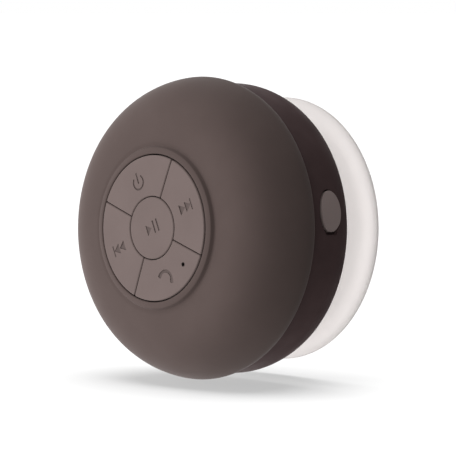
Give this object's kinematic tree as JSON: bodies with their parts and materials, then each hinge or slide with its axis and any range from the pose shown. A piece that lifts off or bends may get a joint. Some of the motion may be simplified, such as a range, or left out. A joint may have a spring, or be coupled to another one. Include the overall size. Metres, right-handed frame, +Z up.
{
  "type": "shower speaker",
  "caption": "Round wireless shower speaker with a suction cup, soft dome, five front keys, a plugged charging port and a driver that faces the wall.",
  "frame": {"origin": "centre of the suction cup's rim, on the wall that it sticks to", "axes": "+Z up, +X to the user's right and the keys facing -Y, so +Y points into the wall. The keypad's symbols stand turned 23.5 degrees anticlockwise."},
  "size_m": [0.086, 0.0529, 0.086],
  "materials": {
    "cup_vinyl": "translucent soft vinyl, satin",
    "pale_plastic": "moulded, fine grain",
    "dark_plastic": "dark moulded plastic, fine matt grain",
    "soft_skin": "matt soft-touch skin",
    "key_skin": "matt soft-touch keys",
    "plug_rubber": "matt moulded rubber",
    "black_rubber": "matt",
    "mesh_cloth": "fine woven mesh",
    "foam_grey": "foam",
    "steel": "zinc plated",
    "aluminium_can": "satin",
    "board_green": "solder mask",
    "chip_black": "moulded chip",
    "capacitor_tan": "ceramic",
    "light_lens": "clear lens",
    "battery_foil": "foil pouch",
    "lead_red": "insulation",
    "lead_black": "insulation",
    "cone_paper": "coated paper",
    "spider_cloth": "resin-dipped cloth",
    "copper": "enamelled copper wire",
    "ferrite": "sintered ferrite"
  },
  "bodies": {
    "cup": {"suction_cup": "cup_vinyl", "cup_stud": "pale_plastic"},
    "housing": {"amplifier_chip": "chip_black", "battery_board": "board_green", "battery_cell": "battery_foil", "battery_connector": "pale_plastic", "battery_leads": "lead_red", "battery_tape": "foam_grey", "board_capacitors": "capacitor_tan", "board_inductors": "chip_black", "board_screws": "steel", "crystal": "steel", "cup_retainer": "dark_plastic", "dome_cover": "soft_skin", "driver_basket": "steel", "driver_gasket": "foam_grey", "driver_magnet": "ferrite", "driver_screws": "steel", "driver_spider": "spider_cloth", "driver_surround": "black_rubber", "driver_terminals": "board_green", "driver_top_plate": "steel", "driver_yoke": "steel", "front_shell": "dark_plastic", "housing_screws": "steel", "housing_seal": "black_rubber", "key_mat": "black_rubber", "main_board": "board_green", "microphone": "aluminium_can", "microphone_boot": "black_rubber", "plug_strap": "plug_rubber", "port_board": "board_green", "port_leads": "lead_red", "port_screws": "steel", "port_shell": "steel", "port_tongue": "chip_black", "radio_chip": "chip_black", "rear_housing": "dark_plastic", "retainer_screws": "steel", "sound_mesh": "mesh_cloth", "speaker_leads": "lead_black", "status_light": "light_lens", "switch_bodies": "dark_plastic"},
    "cone": {"driver_cone": "cone_paper", "driver_dust_cap": "cone_paper", "voice_coil": "copper"},
    "key_power": {"key_power": "key_skin"},
    "key_next": {"key_next": "key_skin"},
    "key_previous": {"key_previous": "key_skin"},
    "key_call": {"key_call": "key_skin"},
    "key_play_pause": {"key_play_pause": "key_skin"},
    "switch_stem_power": {"switch_stem_power": "pale_plastic"},
    "switch_stem_next": {"switch_stem_next": "pale_plastic"},
    "switch_stem_previous": {"switch_stem_previous": "pale_plastic"},
    "switch_stem_call": {"switch_stem_call": "pale_plastic"},
    "switch_stem_play_pause": {"switch_stem_play_pause": "pale_plastic"},
    "plug": {"port_plug": "plug_rubber"}
  },
  "joints": [
    {"name": "cup_swivel", "type": "hinge", "parent": "cup", "child": "housing", "pos_m": [0, -0.012, 0], "axis": [0, 1, 0], "continuous": true},
    {"name": "cone_travel", "type": "slide", "parent": "housing", "child": "cone", "axis": [0, -1, 0], "range_m": [-0.0008, 0.0008], "stiffness_N_per_m": 1500},
    {"name": "press_power", "type": "slide", "parent": "housing", "child": "key_power", "axis": [0, 1, 0], "range_m": [0, 0.0005], "stiffness_N_per_m": 1500, "springref_m": -0.0004},
    {"name": "press_next", "type": "slide", "parent": "housing", "child": "key_next", "axis": [0, 1, 0], "range_m": [0, 0.0005], "stiffness_N_per_m": 1500, "springref_m": -0.0004},
    {"name": "press_previous", "type": "slide", "parent": "housing", "child": "key_previous", "axis": [0, 1, 0], "range_m": [0, 0.0005], "stiffness_N_per_m": 1500, "springref_m": -0.0004},
    {"name": "press_call", "type": "slide", "parent": "housing", "child": "key_call", "axis": [0, 1, 0], "range_m": [0, 0.0005], "stiffness_N_per_m": 1500, "springref_m": -0.0004},
    {"name": "press_play_pause", "type": "slide", "parent": "housing", "child": "key_play_pause", "axis": [0, 1, 0], "range_m": [0, 0.0005], "stiffness_N_per_m": 1500, "springref_m": -0.0004},
    {"name": "stem_power", "type": "slide", "parent": "housing", "child": "switch_stem_power", "axis": [0, 1, 0], "range_m": [0, 0.0003]},
    {"name": "stem_next", "type": "slide", "parent": "housing", "child": "switch_stem_next", "axis": [0, 1, 0], "range_m": [0, 0.0003]},
    {"name": "stem_previous", "type": "slide", "parent": "housing", "child": "switch_stem_previous", "axis": [0, 1, 0], "range_m": [0, 0.0003]},
    {"name": "stem_call", "type": "slide", "parent": "housing", "child": "switch_stem_call", "axis": [0, 1, 0], "range_m": [0, 0.0003]},
    {"name": "stem_play_pause", "type": "slide", "parent": "housing", "child": "switch_stem_play_pause", "axis": [0, 1, 0], "range_m": [0, 0.0003]},
    {"name": "plug_swing", "type": "hinge", "parent": "housing", "child": "plug", "pos_m": [0.04094, -0.0233, -0.00074], "axis": [0, 1, 0], "range_deg": [0, 115]}
  ],
  "couplings": [
    {"joint": "stem_power", "follows": "press_power", "ratio": 0.6},
    {"joint": "stem_next", "follows": "press_next", "ratio": 0.6},
    {"joint": "stem_previous", "follows": "press_previous", "ratio": 0.6},
    {"joint": "stem_call", "follows": "press_call", "ratio": 0.6},
    {"joint": "stem_play_pause", "follows": "press_play_pause", "ratio": 0.6}
  ]
}
